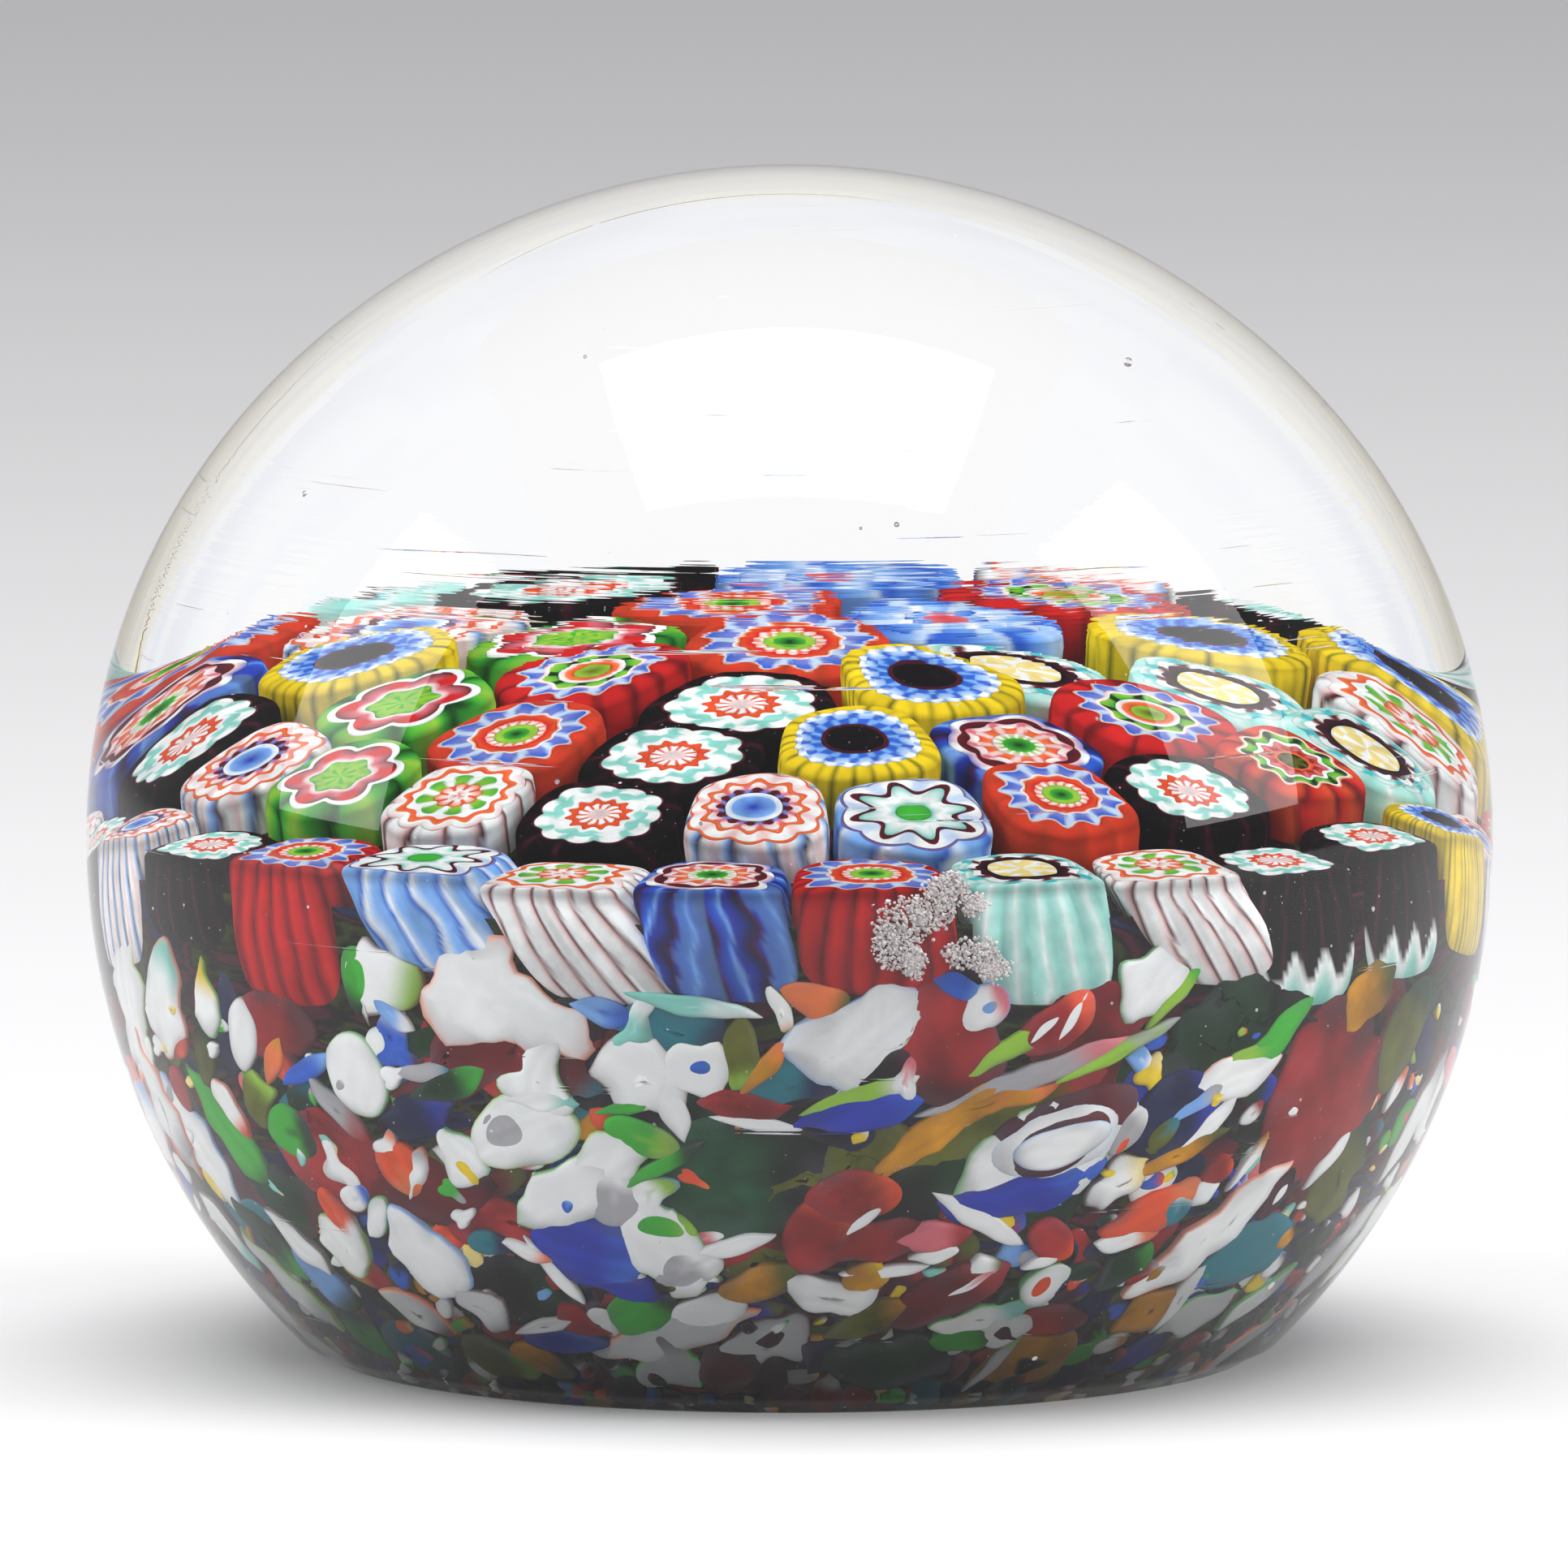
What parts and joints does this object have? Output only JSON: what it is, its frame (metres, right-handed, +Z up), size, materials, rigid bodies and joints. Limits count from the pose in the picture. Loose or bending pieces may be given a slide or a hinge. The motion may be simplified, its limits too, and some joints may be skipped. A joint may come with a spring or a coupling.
{
  "type": "paperweight",
  "caption": "Domed clear glass paperweight over a close-packed cushion of millefiori canes on a ground of multicoloured glass chips, with a flat ground base.",
  "frame": {"origin": "centre of the flat ground base", "axes": "+Z up through the crown of the dome, -Y the front, +X to the right of the front"},
  "size_m": [0.076, 0.076, 0.0642],
  "materials": {
    "clear_glass": "polished clear glass with a very faint green tint",
    "pickup_glass": "clear glass between the canes",
    "dark_ground_glass": "dark translucent glass, ground flat and polished on the base",
    "mica": "silvery, sparkling",
    "aubergine_casings_glass": "opaque to slightly translucent coloured glass, fused and glossy",
    "aqua_star_layers_glass": "opaque to slightly translucent coloured glass, fused and glossy",
    "orange_star_rings_glass": "opaque to slightly translucent coloured glass, fused and glossy",
    "pearl_cores_glass": "opaque to slightly translucent coloured glass, fused and glossy",
    "yellow_casings_glass": "opaque to slightly translucent coloured glass, fused and glossy",
    "blue_cog_layers_glass": "opaque to slightly translucent coloured glass, fused and glossy",
    "black_cores_glass": "opaque to slightly translucent coloured glass, fused and glossy",
    "red_casings_glass": "opaque to slightly translucent coloured glass, fused and glossy",
    "blue_star_layers_glass": "opaque to slightly translucent coloured glass, fused and glossy",
    "red_rings_glass": "opaque to slightly translucent coloured glass, fused and glossy",
    "green_cores_glass": "opaque to slightly translucent coloured glass, fused and glossy",
    "striped_casings_glass": "opaque to slightly translucent coloured glass, fused and glossy",
    "red_star_layers_glass": "opaque to slightly translucent coloured glass, fused and glossy",
    "white_rings_glass": "opaque to slightly translucent coloured glass, fused and glossy",
    "cobalt_cores_glass": "opaque to slightly translucent coloured glass, fused and glossy",
    "green_casings_glass": "opaque to slightly translucent coloured glass, fused and glossy",
    "pink_flower_layers_glass": "opaque to slightly translucent coloured glass, fused and glossy",
    "lime_cores_glass": "opaque to slightly translucent coloured glass, fused and glossy",
    "white_blue_casings_glass": "opaque to slightly translucent coloured glass, fused and glossy",
    "aubergine_star_lines_glass": "opaque to slightly translucent coloured glass, fused and glossy",
    "pale_star_layers_glass": "opaque to slightly translucent coloured glass, fused and glossy",
    "emerald_cores_glass": "opaque to slightly translucent coloured glass, fused and glossy",
    "turquoise_casings_glass": "opaque to slightly translucent coloured glass, fused and glossy",
    "white_star_layers_glass": "opaque to slightly translucent coloured glass, fused and glossy",
    "brown_rings_glass": "opaque to slightly translucent coloured glass, fused and glossy",
    "cream_cores_glass": "opaque to slightly translucent coloured glass, fused and glossy",
    "bright_blue_casings_glass": "opaque to slightly translucent coloured glass, fused and glossy",
    "ice_rings_glass": "opaque to slightly translucent coloured glass, fused and glossy",
    "rose_cores_glass": "opaque to slightly translucent coloured glass, fused and glossy",
    "orange_casings_glass": "opaque to slightly translucent coloured glass, fused and glossy",
    "green_wreath_layers_glass": "opaque to slightly translucent coloured glass, fused and glossy",
    "scarlet_cores_glass": "opaque to slightly translucent coloured glass, fused and glossy",
    "dark_red_casings_glass": "opaque to slightly translucent coloured glass, fused and glossy",
    "green_star_layers_glass": "opaque to slightly translucent coloured glass, fused and glossy",
    "crimson_rings_glass": "opaque to slightly translucent coloured glass, fused and glossy",
    "dark_cores_glass": "opaque to slightly translucent coloured glass, fused and glossy",
    "cobalt_casings_glass": "opaque to slightly translucent coloured glass, fused and glossy",
    "coral_star_layers_glass": "opaque to slightly translucent coloured glass, fused and glossy",
    "moss_cores_glass": "opaque to slightly translucent coloured glass, fused and glossy",
    "white_chips_glass": "opaque to slightly translucent coloured glass, fused and glossy",
    "grey_chips_glass": "opaque to slightly translucent coloured glass, fused and glossy",
    "dark_red_chips_glass": "opaque to slightly translucent coloured glass, fused and glossy",
    "vermilion_chips_glass": "opaque to slightly translucent coloured glass, fused and glossy",
    "dark_green_chips_glass": "opaque to slightly translucent coloured glass, fused and glossy",
    "bright_green_chips_glass": "opaque to slightly translucent coloured glass, fused and glossy",
    "cobalt_chips_glass": "opaque to slightly translucent coloured glass, fused and glossy",
    "navy_chips_glass": "opaque to slightly translucent coloured glass, fused and glossy",
    "amber_chips_glass": "opaque to slightly translucent coloured glass, fused and glossy",
    "yellow_chips_glass": "opaque to slightly translucent coloured glass, fused and glossy",
    "teal_chips_glass": "opaque to slightly translucent coloured glass, fused and glossy",
    "pink_chips_glass": "opaque to slightly translucent coloured glass, fused and glossy",
    "cane_scrap_chips_glass": "opaque to slightly translucent coloured glass, fused and glossy"
  },
  "bodies": {
    "root": {"clear_casing": "clear_glass", "pickup_glass": "pickup_glass", "ground_bed": "dark_ground_glass", "mica_flecks": "mica", "aubergine_casings": "aubergine_casings_glass", "aqua_star_layers": "aqua_star_layers_glass", "orange_star_rings": "orange_star_rings_glass", "pearl_cores": "pearl_cores_glass", "yellow_casings": "yellow_casings_glass", "blue_cog_layers": "blue_cog_layers_glass", "black_cores": "black_cores_glass", "red_casings": "red_casings_glass", "blue_star_layers": "blue_star_layers_glass", "red_rings": "red_rings_glass", "green_cores": "green_cores_glass", "striped_casings": "striped_casings_glass", "red_star_layers": "red_star_layers_glass", "white_rings": "white_rings_glass", "cobalt_cores": "cobalt_cores_glass", "green_casings": "green_casings_glass", "pink_flower_layers": "pink_flower_layers_glass", "lime_cores": "lime_cores_glass", "white_blue_casings": "white_blue_casings_glass", "aubergine_star_lines": "aubergine_star_lines_glass", "pale_star_layers": "pale_star_layers_glass", "emerald_cores": "emerald_cores_glass", "turquoise_casings": "turquoise_casings_glass", "white_star_layers": "white_star_layers_glass", "brown_rings": "brown_rings_glass", "cream_cores": "cream_cores_glass", "bright_blue_casings": "bright_blue_casings_glass", "ice_rings": "ice_rings_glass", "rose_cores": "rose_cores_glass", "orange_casings": "orange_casings_glass", "green_wreath_layers": "green_wreath_layers_glass", "scarlet_cores": "scarlet_cores_glass", "dark_red_casings": "dark_red_casings_glass", "green_star_layers": "green_star_layers_glass", "crimson_rings": "crimson_rings_glass", "dark_cores": "dark_cores_glass", "cobalt_casings": "cobalt_casings_glass", "coral_star_layers": "coral_star_layers_glass", "moss_cores": "moss_cores_glass", "white_chips": "white_chips_glass", "grey_chips": "grey_chips_glass", "dark_red_chips": "dark_red_chips_glass", "vermilion_chips": "vermilion_chips_glass", "dark_green_chips": "dark_green_chips_glass", "bright_green_chips": "bright_green_chips_glass", "cobalt_chips": "cobalt_chips_glass", "navy_chips": "navy_chips_glass", "amber_chips": "amber_chips_glass", "yellow_chips": "yellow_chips_glass", "teal_chips": "teal_chips_glass", "pink_chips": "pink_chips_glass", "cane_scrap_chips": "cane_scrap_chips_glass"}
  },
  "joints": []
}
